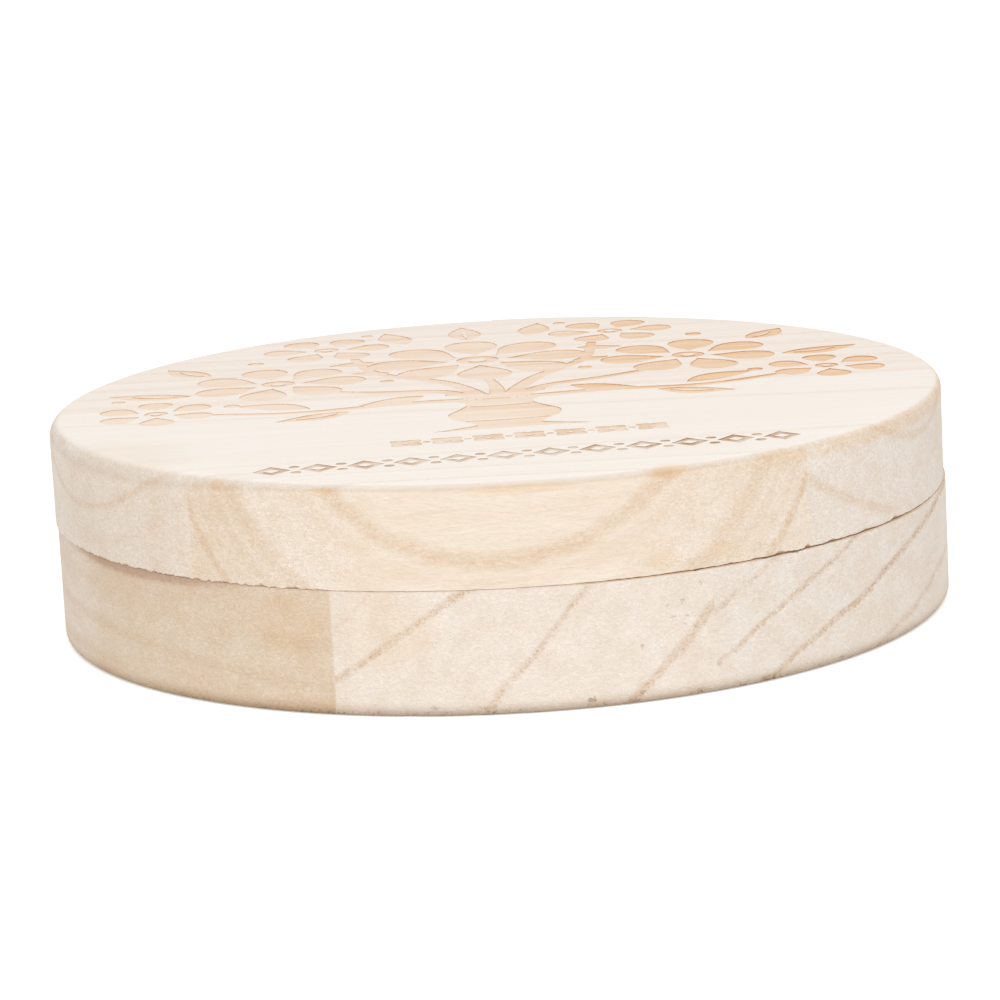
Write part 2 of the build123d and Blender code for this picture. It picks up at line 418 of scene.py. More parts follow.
design = {
    "turn": 5.0,
    "depth": 0.13,
    "blossoms": (
        # middle, petals, first petal's angle, heart, petal length and width
        ((0.0, 25.5), 8, 90, 3.0, 11.6, 7.6),
        ((-28.5, 17.0), 7, 100, 2.3, 9.0, 6.5),
        ((29.0, 18.5), 7, 80, 2.3, 9.2, 6.6),
        ((-20.5, 41.6), 6, 60, 1.8, 6.4, 5.2),
        ((20.8, 42.4), 6, 120, 1.8, 6.3, 5.1),
        ((-45.6, 0.6), 6, 30, 1.6, 5.8, 4.7),
        ((46.0, 3.2), 6, 90, 1.6, 5.8, 4.7),
    ),
    "petalGap": 0.9,  # between a blossom's heart and its petals
    "heartIsland": 0.42,  # what is left standing in a heart, as a share of it
    "stems": (
        ((0.0, -4.0), (0.6, 3.0), (0.0, 12.0)),
        ((-2.6, -4.0), (-7.0, 3.0), (-16.0, 5.5), (-23.0, 9.0)),
        ((2.6, -4.0), (7.5, 2.5), (16.0, 6.0), (23.5, 10.0)),
        ((-4.2, -4.5), (-13.0, -4.0), (-27.0, -5.5), (-39.0, -2.6)),
        ((4.2, -4.5), (14.0, -3.5), (28.0, -4.5), (39.5, -0.4)),
        ((-1.3, -4.0), (-5.6, 9.0), (-14.5, 20.0), (-17.0, 33.0)),
        ((1.3, -4.0), (6.5, 9.0), (14.5, 21.0), (17.2, 34.0)),
    ),
    "stemWidths": (2.6, 1.3),
    "buds": (
        # root, angle, length, width, lean: each bud stands beside a stem
        ((-9.5, 0.8), 205, 10.0, 4.4, 0.6),
        ((10.5, 1.4), -28, 10.2, 4.4, -0.6),
        ((-20.0, -7.0), 202, 11.0, 4.4, 0.7),
        ((21.5, -5.8), -22, 11.0, 4.4, -0.7),
        ((-25.0, -3.2), 152, 11.4, 4.6, -0.7),
        ((26.0, -2.2), 28, 11.4, 4.6, 0.7),
        ((-12.8, 20.0), 166, 5.6, 3.0, 0.5),
        ((13.0, 20.5), 14, 5.4, 3.0, -0.5),
        ((-14.4, 29.4), 190, 6.6, 3.4, 0.4),
        ((14.6, 30.2), -10, 6.6, 3.4, -0.4),
        ((-37.6, 26.4), 128, 9.6, 4.4, 0.5),
        ((38.8, 28.2), 50, 9.0, 4.4, -0.5),
        ((-40.6, 12.0), 162, 12.0, 4.6, 0.7),
        ((41.6, 14.6), 16, 11.6, 4.6, -0.7),
        ((-8.8, 42.6), 104, 10.4, 4.6, 0.3),
        ((8.8, 43.0), 76, 10.4, 4.6, -0.3),
        ((0.0, 42.2), 90, 11.4, 4.8, 0.0),
    ),
    "budSlits": (2, 3, 10, 11, 12, 13, 16),
    "slit": (0.16, 0.55, 0.5, 0.8),  # start, length and lean as shares of the bud's, with the width third
    "dots": (
        ((-13.6, 13.6), 1.0), ((14.0, 14.2), 1.0), ((-35.4, 2.6), 1.1), ((36.2, 3.8), 1.1),
        ((-31.0, 34.0), 1.2), ((32.0, 35.0), 1.2), ((-5.8, -0.2), 0.9), ((6.0, -0.2), 0.9),
        ((-50.6, 11.0), 1.0), ((-14.0, 51.4), 0.9), ((14.4, 51.8), 0.9),
    ),
}
vase = {
    # half-widths and their places, from the mouth down to the foot
    "side": (
        (6.6, -4.2), (5.6, -5.6), (4.4, -8.0), (5.6, -11.0), (7.4, -14.4), (7.0, -18.0),
        (4.8, -21.4), (4.4, -22.8), (7.6, -24.4), (10.4, -25.6),
    ),
    "bands": ((-9.3, 0.3), (-19.3, 0.35)),
    "bandInset": 0.7,
}
lozengeRow = {
    "start": (-27.9, -46.1),
    "end": (36.0, -40.1),
    "count": 12,
    "size": (4.8, 5.4),
    "heart": (2.1, 2.0),
    "dot": 0.7,
    "dotSpread": 0.62,  # how far the dots stand from the row's middle, as a share of half a lozenge
    "depth": 0.1,
}
floretRow = {
    "start": (-11.4, -32.6),
    "end": (20.2, -29.6),
    "count": 7,
    "petal": (2.5, 2.3),
    "gap": 0.2,
    "dot": 0.5,
    "depth": 0.08,
}


def rowPlaces(row):
    # The middle of each ornament of a row, the way along the row, and half a step of it
    start, end = np.array(row["start"]), np.array(row["end"])
    run, last = end - start, row["count"] - 1
    return [start + run * index / last for index in range(row["count"])], run, run / last / 2


def carvedKind(name, depth):
    return {"depth": depth, "floor": name + "Floor", "side": name + "Side"}


def carvedShapes():
    shapes = []
    designKind = carvedKind("carved", design["depth"])
    burntKind = carvedKind("burnt", lozengeRow["depth"])
    paleKind = carvedKind("pale", floretRow["depth"])

    def cut(outline, kind=designKind, island=False, turn=design["turn"]):
        shapes.append({"outline": counterClockwise(turned(outline, turn)), "kind": kind, "island": island})

    for middle, count, first, heart, length, width in design["blossoms"]:
        for step in range(count):
            angle = first + 360 * step / count
            root = np.array(middle) + aim(angle) * (heart + design["petalGap"])
            cut(petal(root, angle, length, width))
        cut(dot(middle, heart, 30))
        cut(dot(middle, heart * design["heartIsland"], 14), island=True)
    for points in design["stems"]:
        cut(stem(points, *design["stemWidths"]))
    slitStart, slitLength, slitWidth, slitLean = design["slit"]
    for index, (root, angle, length, width, lean) in enumerate(design["buds"]):
        cut(bud(root, angle, length, width, lean))
        if index in design["budSlits"]:
            slitRoot = np.array(root) + aim(angle) * length * slitStart
            cut(bud(slitRoot, angle, length * slitLength, slitWidth, lean * slitLean, 8), island=True)
    for middle, size in design["dots"]:
        cut(dot(middle, size))
    side = smoothLine(vase["side"], 5)
    cut(np.concatenate([side, (side * (-1, 1))[::-1]]))
    for height, half in vase["bands"]:
        reach = np.interp(-height, -side[:, 1], side[:, 0]) - vase["bandInset"]
        cut(bud((-reach, height), 0, reach * 2, half * 2, 0.0, 10), island=True)

    places, run, halfStep = rowPlaces(lozengeRow)
    slope = math.degrees(math.atan2(run[1], run[0]))  # the florets are turned by it too
    half, inHalf = np.array(lozengeRow["size"]) / 2, np.array(lozengeRow["heart"]) / 2
    corners = np.array([(1, 0), (0, 1), (-1, 0), (0, -1)], float)
    for place in places:
        cut(turned(corners * half, slope) + place, burntKind, False, 0)
        cut(turned(corners * inHalf, slope) + place, burntKind, True, 0)
        if place is not places[-1]:
            for side in (-1, 1):
                offset = turned([(0, side * half[1] * lozengeRow["dotSpread"])], slope)[0]
                cut(dot(place + halfStep + offset, lozengeRow["dot"], 12), burntKind, False, 0)
    places, run, halfStep = rowPlaces(floretRow)
    for place in places:
        for angle in (45, 135, 225, 315):
            root = place + aim(angle + slope) * floretRow["gap"]
            cut(bud(root, angle + slope, *floretRow["petal"], 0.0, 8), paleKind, False, 0)
        if place is not places[-1]:
            cut(dot(place + halfStep, floretRow["dot"], 10), paleKind, False, 0)
    return shapes


def jawWells(middleAngle):
    # One jaw's ten wells along the ring, from back molar to back molar
    diameters = wells["diameters"] + wells["diameters"][::-1]
    ring = radius - wells["ringInset"]
    angles = [0.0]
    for one, other in zip(diameters[:-1], diameters[1:]):
        apart = (one + other) / 2 + wells["wall"]
        angles.append(angles[-1] + math.degrees(2 * math.asin(apart / 2 / ring)))
    start = middleAngle - angles[-1] / 2
    return [(*(ring * aim(start + angle)), diameter) for angle, diameter in zip(angles, diameters)]


def wellHole(solid, x, y, diameter):
    # A broken rim, an upright wall, and a rounded floor with the drill's spur in its middle
    size, floor = diameter / 2, baseHeight - wells["depth"]
    rim, soft = wells["rimBreak"], wells["floorRound"]
    wall = wells["depth"] - rim - soft
    steps = [(size + rim, baseHeight), (size + rim * 0.4, baseHeight - rim * 0.5), (size, baseHeight - rim)]
    steps += [(size, baseHeight - rim - wall * share) for share in wells["wallSteps"]]
    steps += [(size - soft * 0.3, floor + soft * 0.3), (size - soft, floor), (wells["spurRadius"], floor)]
    mouth, deepest = boredHole(solid, (x, y), steps, wells["sides"])
    closeRing(solid, deepest, (x, y, floor - wells["spurDepth"]), True)
    return mouth


def pocket(solid, middle, size, mouth, floor, up):
    # A round pocket with a flat floor, open upwards or downwards
    steps = [(size, mouth), (size, (mouth + floor) / 2), (size, floor), (size * 0.5, floor)]
    rim, inmost = boredHole(solid, middle, steps, seats["sides"], up)
    closeRing(solid, inmost, (middle[0], middle[1], floor), up)
    return rim


def seatOf(node):
    # A fitting's middle, the radius of its seat, and the heights that it stands between
    low, high = spanOf(node)
    return (low + high) / 2, (high.x - low.x) / 2 + seats["slack"], low.z, high.z


def baseSolid():
    solid = newSolid()
    foot, band = discs["footRound"], discs["seamBand"]
    rows = [(foot + band, 0.0)] + roundRows(foot, 0.0, False)
    rows += wallRows(foot, baseHeight - band) + seamRows(baseHeight, True)

    def wear(arc, inset, height):
        # The innermost row of the flat stays where it is
        nearSeam = ease(band, discs["baseFull"], baseHeight - height) if inset < band * 0.9 else 0.0
        nearFoot = ease(foot * footDents["height"], 0.0, height) if inset < foot else 0.0
        drop = baseWear(arc)
        inwards = nearSeam * max(drop, 0.0) * discs["baseChipInset"] + nearFoot * footWear(arc)
        return inwards, -nearSeam * drop

    under, top = discRings(solid, rows, wear)
    topHoles = [wellHole(solid, *well) for well in jawWells(90) + jawWells(-90)]

    _, flange, _, bushTop = seatOf("pivot_bush")
    neck, flangeSeat = flange - seats["flangeStep"], bushTop - seats["flangeDepth"]
    counterbore, shoulder = seats["counterboreRadius"], seats["counterboreDepth"]
    steps = [(flange, baseHeight), (flange, flangeSeat), (neck, flangeSeat), (neck, shoulder)]
    steps += [(counterbore, shoulder), (counterbore, 0.0)]
    mouth, lowest = boredHole(solid, pivot, steps, seats["sides"])
    topHoles.append(mouth)

    magnet, size, magnetLow, _ = seatOf("base_magnet")
    topHoles.append(pocket(solid, magnet, size, baseHeight, magnetLow, True))
    flatFace(solid, top, topHoles, [], baseHeight, True)
    flatFace(solid, under, [lowest], [], 0.0, False)
    return solid


def lidSolid():
    solid = newSolid()
    soft, band, edge = discs["topRound"], discs["seamBand"], discs["seamBreak"]
    rows = seamRows(0.0, False) + wallRows(band, lidHeight - soft) + roundRows(soft, lidHeight, True)

    def wear(arc, inset, height):
        lift = lidWear(arc)
        near = ease(band, discs["lidFull"], height) if inset < band * 0.9 else 0.0
        if height == 0:
            # On the underside only the rows beside the wall move
            inwards = max(lift, 0.0) * discs["lidChipInset"] if inset < edge * 1.1 else 0.0
            return inwards, near * min(lift, 0.0)
        # The round grows towards the left, and the wall's rows make room for it
        shrunk = 1 - discs["leftShrink"] * ease(*discs["leftShrinks"], arc)
        grown = soft + (discs["topRoundLeft"] - soft) * ease(*discs["leftGrows"], arc) * shrunk
        if height > lidHeight - soft - 1e-6:
            return inset * (grown / soft - 1), -(lidHeight - height) * (grown / soft - 1)
        if height > band:
            return 0.0, -(height - band) * (grown - soft) / (lidHeight - soft - band)
        return 0.0, near * lift

    under, top = discRings(solid, rows, wear)
    toLid = lidPlace.inverted()
    insert, insertSize, _, insertTop = seatOf("lid_insert")
    magnet, magnetSize, _, magnetTop = seatOf("lid_magnet")
    insertTop += seats["insertSpare"]
    holes = [
        pocket(solid, toLid @ insert, insertSize, 0.0, insertTop - lidLow.z, False),
        pocket(solid, toLid @ magnet, magnetSize, 0.0, magnetTop - lidLow.z, False),
    ]
    flatFace(solid, under, holes, [], 0.0, False)
    flatFace(solid, top, [], carvedShapes(), lidHeight, True)
    return solid


def stripMesh(name, solid, axis, low, high):
    # Keeps the disc's wood between two glue planes and closes the sawn faces
    tags = sorted(set(solid["tags"]), key=lambda tag: (tag != "wood", tag))
    mesh = bpy.data.meshes.new(name)
    mesh.from_pydata(solid["points"], [], solid["faces"])
    mesh.polygons.foreach_set("material_index", [tags.index(tag) for tag in solid["tags"]])
    work = bmesh.new()
    work.from_mesh(mesh)
    for place, keepAbove in ((low, True), (high, False)):
        if abs(place) >= radius:
            continue
        spot, facing = Vector((0, 0, 0)), Vector((0, 0, 0))
        spot[axis], facing[axis] = place, -1.0 if keepAbove else 1.0
        everything = work.verts[:] + work.edges[:] + work.faces[:]
        cut = bmesh.ops.bisect_plane(
            work, geom=everything, dist=1e-5, plane_co=spot, plane_no=facing, clear_outer=True
        )
        rimEdges = [item for item in cut["geom_cut"] if isinstance(item, bmesh.types.BMEdge)]
        bmesh.ops.triangle_fill(work, use_beauty=True, edges=rimEdges, normal=facing)
    openEdges = sum(1 for edge in work.edges if not edge.is_manifold)
    bmesh.ops.recalc_face_normals(work, faces=work.faces[:])
    bmesh.ops.scale(work, vec=(mm, mm, mm), verts=work.verts[:])
    for face in work.faces:
        face.smooth = abs(face.normal.z) < 0.9999
    work.to_mesh(mesh)
    work.free()
    mesh.set_sharp_from_angle(angle=math.radians(discs["sharpAngle"]))
    print(name, len(mesh.vertices), "points", openEdges, "open edges")
    return mesh, tags


# Materials
def newMaterial(name):
    material = bpy.data.materials.new(name)
    material.use_nodes = True
    tree = material.node_tree
    shader = tree.nodes["Principled BSDF"]
    return material, tree, shader


def put(tree, kind, inputs=None, **settings):
    node = tree.nodes.new("ShaderNode" + kind)
    for key, value in settings.items():
        setattr(node, key, value)
    for key, value in (inputs or {}).items():
        if isinstance(value, bpy.types.NodeSocket):
            tree.links.new(value, node.inputs[key])
        else:
            node.inputs[key].default_value = value
    return node


def maths(tree, operation, first, second=0.0, third=0.0):
    return put(tree, "Math", {0: first, 1: second, 2: third}, operation=operation).outputs[0]


def times(tree, first, *others):
    for other in others:
        first = maths(tree, "MULTIPLY", first, other)
    return first


def mixed(tree, share, first, second):
    return put(tree, "Mix", {0: share, 2: first, 3: second}, data_type="FLOAT").outputs[0]


def vectors(tree, operation, *inputs, result=0):
    return put(tree, "VectorMath", dict(enumerate(inputs)), operation=operation).outputs[result]


def measured(tree, vector):
    return vectors(tree, "LENGTH", vector, result="Value")


def stretched(tree, vector, shares):
    return vectors(tree, "MULTIPLY", vector, shares)


def cloud(tree, vector, scale, detail=2.0, roughness=0.5, distortion=0.0):
    settings = {"Scale": scale, "Detail": detail, "Roughness": roughness, "Distortion": distortion}
    return put(tree, "TexNoise", {"Vector": vector, **settings}).outputs[0]


def between(tree, value, low, high, first=0.0, last=1.0):
    inputs = {0: value, 1: low, 2: high, 3: first, 4: last}
    return put(tree, "MapRange", inputs, interpolation_type="SMOOTHSTEP").outputs[0]


def blended(tree, share, first, second, mode="MIX"):
    node = put(tree, "Mix", {0: share, 6: first, 7: second}, data_type="RGBA", blend_type=mode)
    return node.outputs[2]


def tinted(tree, share, color, tint):
    return blended(tree, share, color, (*tint, 1.0), "MULTIPLY")


def linear(red, green, blue):
    # A colour as a screen shows it, 0 to 255, turned into a shader's colour
    shown = (red / 255, green / 255, blue / 255)
    return tuple(c / 12.92 if c <= 0.04045 else ((c + 0.055) / 1.055) ** 2.4 for c in shown) + (1.0,)


lidFloor = lidLow.z
plainWood = {
    "pale": (244, 230, 214),
    "shade": (239, 221, 200),
    "topPale": (249, 242, 234),
    "topShade": (248, 238, 228),
    "ring": (226, 194, 160),
    "speck": (184, 152, 124),
    "specks": 0.15,  # how much darker specks break up the rings
    "fuzz": 0.075,  # light and dark of the rough end grain on the walls
    "streak": 0.03,  # the same along the grain
    "rim": 0.85,  # how tan the sanded rim is at the right
    "wander": 0.9,  # how far the rings stray, slowly and finely
    "jitter": 0.5,
    "broken": 0.88,  # how much of a ring is left where it fades
    "along": "x",
    "lean": (0.0, 0.0),
    "taper": 0.0,  # how much the rings grow along x
    "heart": (0.0, 0.0, 0.0),
    "rings": (),
    "sheets": (),
    "marks": (),
    "blots": (),
}
baseRing = {
    "ring": (217, 186, 153),
    "speck": (184, 150, 119),
    "broken": 0.6,
    "specks": 0.6,
    "wander": 1.9,
    "jitter": 1.4,
}
farRings = (
    (32.0, 1.6, 0.3), (38.0, 1.0, 0.3), (43.5, 1.6, 0.35), (49.0, 1.0, 0.4), (55.0, 2.0, 0.35),
    (62.0, 1.0, 0.4),
)
blotKinds = {"chip": (0.8, (0.56, 0.48, 0.40)), "speck": (0.6, (0.66, 0.61, 0.56))}  # depth and tint


def blot(kind, arc, height, width, tall, strength):
    # A small blot on the wall, by the way round it from the front
    turn = arc / radius
    depth, tint = blotKinds[kind]
    return (radius * math.sin(turn), -radius * math.cos(turn), height), (width, depth, tall), tint, strength


nearHeart = {"heart": (0.24, -25.3, 46.3 - lidFloor), "lean": (1.0, 0.6), "taper": -0.041}
woodLooks = {
    # heart: a point on the line that the rings turn round
    # rings: radius, half width, strength, and where they differ the strength at the right and the end there
    # sheets: rings far from the heart, by slant, offset, half width and strength
    # marks: place, reach, tint and strength
    # blots: kind, the way round the wall and up it, width, height and strength
    "lid_front_strip": {
        "heart": (0.24, -106.7, 44.8 - lidFloor),
        "lean": (0.5, -2.5),
        "rings": (
            (53.15, 0.85, 0.46, 0.48), (54.6, 0.8, 0.1), (56.6, 0.9, 0.1), (59.2, 1.1, 0.3, 0.3),
            (60.9, 0.6, 0.2, 0.14), (63.84, 0.62, 0.42, 0.52), (62.3, 0.5, 0.1),
        ),
        "marks": (
            ((-36.5, -47.0, 6.0), (10.0, 9.0, 12.0), (0.95, 0.905, 0.86), 0.85),
            ((2.5, -59.6, 12.2), (8.0, 4.0, 0.8), (0.97, 0.87, 0.72), 0.6),
            ((21.0, -56.1, 12.6), (3.2, 3.0, 1.0), (0.95, 0.80, 0.63), 0.7),
            ((-21.9, -55.7, 12.3), (2.0, 2.0, 0.8), (0.96, 0.84, 0.68), 0.6),
            ((-35.0, -48.6, 12.4), (1.4, 2.0, 0.9), (0.94, 0.80, 0.64), 0.6),
            ((34.6, -49.2, 12.6), (2.4, 2.4, 1.2), (0.96, 0.85, 0.72), 0.25),
            ((19.6, -56.6, 1.8), (2.6, 3.0, 1.6), (0.96, 0.86, 0.74), 0.5),
            ((26.8, -53.6, 2.0), (2.4, 3.0, 1.4), (0.96, 0.87, 0.77), 0.5),
        ),
    },
    "lid_near_strip": {
        **nearHeart,
        "pale": (243, 232, 221),
        "shade": (238, 225, 210),
        "rings": ((22.35, 0.8, 0.32), (31.7, 0.9, 0.05, 0.34, 49.5), (27.0, 1.0, 0.08), (18.0, 0.9, 0.1)),
        "marks": (
            ((-57.9, -16.6, 13.0), (1.8, 4.0, 1.4), (0.88, 0.75, 0.62), 0.5),
            ((-50.0, -32.0, 6.0), (17.0, 18.0, 14.0), (0.955, 0.925, 0.885), 1.0),
            ((-42.6, -42.4, 6.0), (4.5, 4.5, 11.0), (0.975, 0.945, 0.91), 1.0),
            ((-39.2, -45.6, 6.0), (2.4, 2.4, 15.0), (0.975, 0.945, 0.90), 1.0),
        ),
    },
    "lid_far_strip": {
        **nearHeart,
        "topPale": (248, 238, 229),
        "topShade": (246, 233, 221),
        "rings": farRings,
    },
    "lid_back_strip": {
        **nearHeart,
        "topPale": (247, 237, 228),
        "topShade": (245, 231, 218),
        "rings": farRings + ((68.0, 1.6, 0.3), (74.0, 1.2, 0.35)),
    },
    "base_left_strip": {
        "along": "y",
        "pale": (231, 213, 192),
        "shade": (226, 204, 178),
        "ring": (212, 182, 148),
        "specks": 0.1,
        "fuzz": 0.07,
        "sheets": ((96.9, -4.0, 1.6, 0.2), (96.9, 0.8, 1.2, 0.25), (96.9, 6.0, 1.6, 0.12)),
        "marks": (
            ((-27.5, -53.5, 11.4), (7.2, 7.0, 4.6), (0.97, 0.88, 0.77), 0.6),
            ((-24.0, -55.0, 0.4), (10.0, 9.0, 2.6), (0.92, 0.83, 0.74), 0.7),
            # partly painted shadow under the lid's overhanging left edge and partly a brown stain, with its
            # softer fade below
            ((-47.0, -37.3, 15.9), (20.0, 20.0, 1.5), (0.74, 0.63, 0.58), 0.9),
            ((-45.0, -40.0, 15.9), (24.0, 24.0, 4.2), (0.95, 0.90, 0.87), 0.7),
            ((-58.0, -18.0, 8.0), (9.0, 18.0, 14.0), (1.05, 1.10, 1.19), 1.0),
        ),
    },
    "base_middle_strip": {
        **baseRing,
        "along": "y",
        "pale": (244, 233, 221),
        "shade": (239, 224, 208),
        "fuzz": 0.05,
        "sheets": (
            (56.1, 16.0, 0.8, 0.5), (41.2, 2.85, 0.72, 0.36), (44.0, -10.36, 0.9, 0.5),
            (50.0, 22.5, 0.6, 0.15),
        ),
        "marks": (((-15.0, -58.0, 11.0), (8.5, 5.0, 6.5), (0.99, 0.95, 0.89), 0.8),),
        "blots": (
            blot("chip", 9.8, 1.2, 0.8, 0.42, 0.8),
            blot("chip", -9.5, 1.3, 0.7, 0.3, 0.5),
            blot("chip", -3.4, 1.2, 0.6, 0.28, 0.45),
            blot("chip", 16.3, 1.5, 0.6, 0.3, 0.55),
            blot("chip", 23.8, 0.7, 0.6, 0.3, 0.6),
            blot("speck", 24.4, 14.3, 0.28, 0.24, 0.8),
            blot("speck", 21.8, 12.4, 0.3, 0.3, 0.9),
            blot("speck", 19.9, 11.9, 0.26, 0.22, 0.8),
            blot("speck", 20.5, 10.6, 0.3, 0.2, 0.8),
            blot("speck", 22.6, 10.4, 0.26, 0.24, 0.9),
            blot("speck", 22.0, 9.6, 0.22, 0.2, 0.7),
            blot("speck", 16.4, 7.3, 0.2, 0.36, 0.9),
        ),
    },
    "base_right_strip": {
        **baseRing,
        "along": "y",
        "pale": (241, 231, 220),
        "shade": (237, 223, 208),
        "fuzz": 0.065,
        "sheets": (
            (57.3, -4.93, 0.55, 0.32), (57.2, -10.57, 0.52, 0.52), (60.1, -15.42, 0.7, 0.64),
            (59.9, -23.3, 0.75, 0.34),
        ),
        "blots": (
            blot("chip", 33.2, 0.8, 0.7, 0.3, 0.55),
            blot("chip", 46.5, 0.8, 0.7, 0.3, 0.5),
        ),
    },
}
burns = {
    # the tint that each carved or burnt finish gives the wood, and its strength at the left and the right
    "wood": None,
    "carvedFloor": {"tint": (0.93, 0.72, 0.51), "left": 0.49, "right": 1.05},
    "carvedSide": {"tint": (0.76, 0.58, 0.42), "left": 0.66, "right": 1.0},
    "burntFloor": {"tint": (0.62, 0.44, 0.30), "left": 0.62, "right": 0.85},
    "burntSide": {"tint": (0.54, 0.38, 0.26), "left": 0.62, "right": 0.85},
    "paleFloor": {"tint": (0.86, 0.71, 0.56), "left": 0.8, "right": 0.75},
    "paleSide": {"tint": (0.82, 0.67, 0.52), "left": 0.8, "right": 0.75},
}
burnLook = {
    "across": (-2.0, 26.0),  # from here it is as strong as at the left, to there as at the right
    "lines": (0.32, 0.68, 0.62, 1.12),  # lighter and darker lines of the carved floors
    "patches": (0.36, 0.64, 0.6, 1.2),  # lighter and darker patches of the rows
}
dirtAndShade = {
    # tints multiply the wood, some for dirt and stain and some as painted shade; a fade is two places and the
    # strength at each of them
    # the foot's tint is painted shade along the foot, next to the floor; the dirt is real specks of dirt
    "foot": {"tint": (0.70, 0.63, 0.55), "height": (0.2, 2.1, 1.0, 0.0), "strength": 0.9},
    "dirt": {"tint": (0.42, 0.34, 0.26), "height": (0.3, 1.1, 1.0, 0.0), "strength": 0.8},
    # the seam's tint is painted shade on the base's outer flat top, where it shows in the gap under the lid
    "seam": {  # the outermost part of the base's flat top, which shows in the seam
        "tint": (0.76, 0.60, 0.47),
        "reach": 0.7,
        "left": (2.0, 14.0, 0.3, 1.0),
        "right": (52.0, 58.0, 1.0, 0.35),
    },
    # the rim's tint is painted shade along the lid's rounded top edge, which dims its highlight, weaker at
    # the right
    "rim": {"tint": (0.87, 0.85, 0.83), "right": (20.0, 50.0, 1.0, 0.35)},  # along the lid's top edge
    # the tint for torn wood that faces down is painted shade under the lid's edge
    "tearShade": {"tint": (0.82, 0.70, 0.60)},  # torn wood that faces down
    "stain": {"tint": (0.98, 0.88, 0.76), "depth": (2.6, 1.5), "ragged": 2.4, "right": (20.0, 50.0, 0.03)},
}
grain = {
    # textures of the wood: how they are stretched, scale, detail, roughness and distortion
    "wander": (None, 0.1, 2.0),
    "speck": ((0.5, 1.0, 1.0), 2.1, 4.0, 0.75),
    "grit": (None, 3.6, 2.0, 0.6),
    "fade": (None, 0.33, 2.0),
    "fibre": ((0.02, 1.0, 1.0), 1.5, 4.0, 0.62),
    "broad": ((0.012, 1.0, 1.0), 0.3, 3.0, 0.6),
    "knobbly": ((0.85, 0.85, 1.15), 2.5, 1.6, 0.7, 1.2),
    "xStreaks": ((0.3, 0.6, 1.3), 2.0, 2.0, 0.7, 0.6),
    "yStreaks": ((0.6, 0.3, 1.3), 2.0, 2.0, 0.7, 0.6),
    "dirt": (None, 0.22, 1.0),
    "burntLines": ((0.04, 1.0, 1.0), 0.6, 3.0, 0.65),
    "burntPatches": (None, 0.42, 1.0),
}
ringLook = {
    "edge": 0.15,  # a ring is full up to this share of its half width
    "fades": (0.34, 0.6),  # the range of a texture over which rings fade
    "onSpecks": (0.35, 1.2),
    "strongest": 1.1,
    "onFlats": 0.45,
    "leftToRight": (-20.0, 20.0),
    "endSoft": 2.5,
}
surface = {
    "roughness": 0.85,
    "specular": 0.2,
    "bump": 0.6,
    "bumpDepth": 0.25,
    "flatFibre": 0.2,  # how much lower the fibres are on the flats
    "calm": (0.982, 1.008),  # light and dark of the fibres on the flats
}
blotShake = {"Scale": 2.8, "Detail": 2.0, "Roughness": 0.7}
shakeReach = 1.6


def grained(tree, vector, name):
    shares, *settings = grain[name]
    return cloud(tree, stretched(tree, vector, shares) if shares else vector, *settings)


def softBand(tree, distance, place, width):
    off = maths(tree, "ABSOLUTE", maths(tree, "SUBTRACT", distance, place))
    return between(tree, off, width * ringLook["edge"], width, 1.0, 0.0)


def yearRings(tree, look, at, waver):
    # Soft bands where the year rings come to the surface
    across = at["across"]
    away = measured(tree, stretched(tree, at["inGrain"], (0.0, 1.0, 1.0)))
    away = maths(tree, "MULTIPLY_ADD", across, -look["taper"], maths(tree, "ADD", away, waver))
    bands = 0.0
    for size, width, strength, *atRight in look["rings"]:
        if atRight:
            strength = between(tree, across, *ringLook["leftToRight"], strength, atRight[0])
        band = times(tree, softBand(tree, away, size, width), strength)
        if len(atRight) > 1:
            end = atRight[1]
            band = times(tree, band, between(tree, across, end, end + ringLook["endSoft"], 1.0, 0.0))
        bands = maths(tree, "MAXIMUM", bands, band)
    for slant, offset, width, strength in look["sheets"]:
        slant = math.radians(slant)
        facing = (-math.cos(slant), 0.0, math.sin(slant))
        height = vectors(tree, "DOT_PRODUCT", at["spot"], facing, result="Value")
        band = softBand(tree, maths(tree, "ADD", height, waver), offset, width)
        bands = maths(tree, "MAXIMUM", bands, times(tree, band, strength))
    return bands


def markMask(tree, spot, ragged, place, reach, strength):
    # A soft blot round a place
    offset = vectors(tree, "SUBTRACT", spot, place)
    away = measured(tree, stretched(tree, offset, tuple(1 / part for part in reach)))
    away = maths(tree, "MULTIPLY_ADD", ragged, 0.5, away)
    return times(tree, between(tree, away, 0.75, 1.3, 1.0, 0.0), strength)


def woodPlaces(tree, look):
    # Places, directions and textures that several steps of a strip's look share, in millimetres
    coordinates = put(tree, "TexCoord").outputs
    spot = stretched(tree, coordinates["Object"], (1 / mm, 1 / mm, 1 / mm))
    across, _, up = put(tree, "SeparateXYZ", {0: spot}).outputs
    normals = put(tree, "SeparateXYZ", {0: coordinates["Normal"]}).outputs
    turnZ = math.radians(look["lean"][0] + (90 if look["along"] == "y" else 0))
    turnY = math.radians(look["lean"][1])
    inputs = {"Vector": spot, "Location": look["heart"], "Rotation": (0.0, turnY, turnZ)}
    inGrain = put(tree, "Mapping", inputs, vector_type="TEXTURE").outputs[0]
    return {
        "spot": spot,
        "across": across,
        "up": up,
        "facingUp": normals[2],
        "facingEnd": normals[1 if look["along"] == "y" else 0],
        "flat": between(tree, normals[2], 0.35, 0.95),
        "inGrain": inGrain,
        "speck": grained(tree, inGrain, "speck"),
        "grit": grained(tree, spot, "grit"),
    }


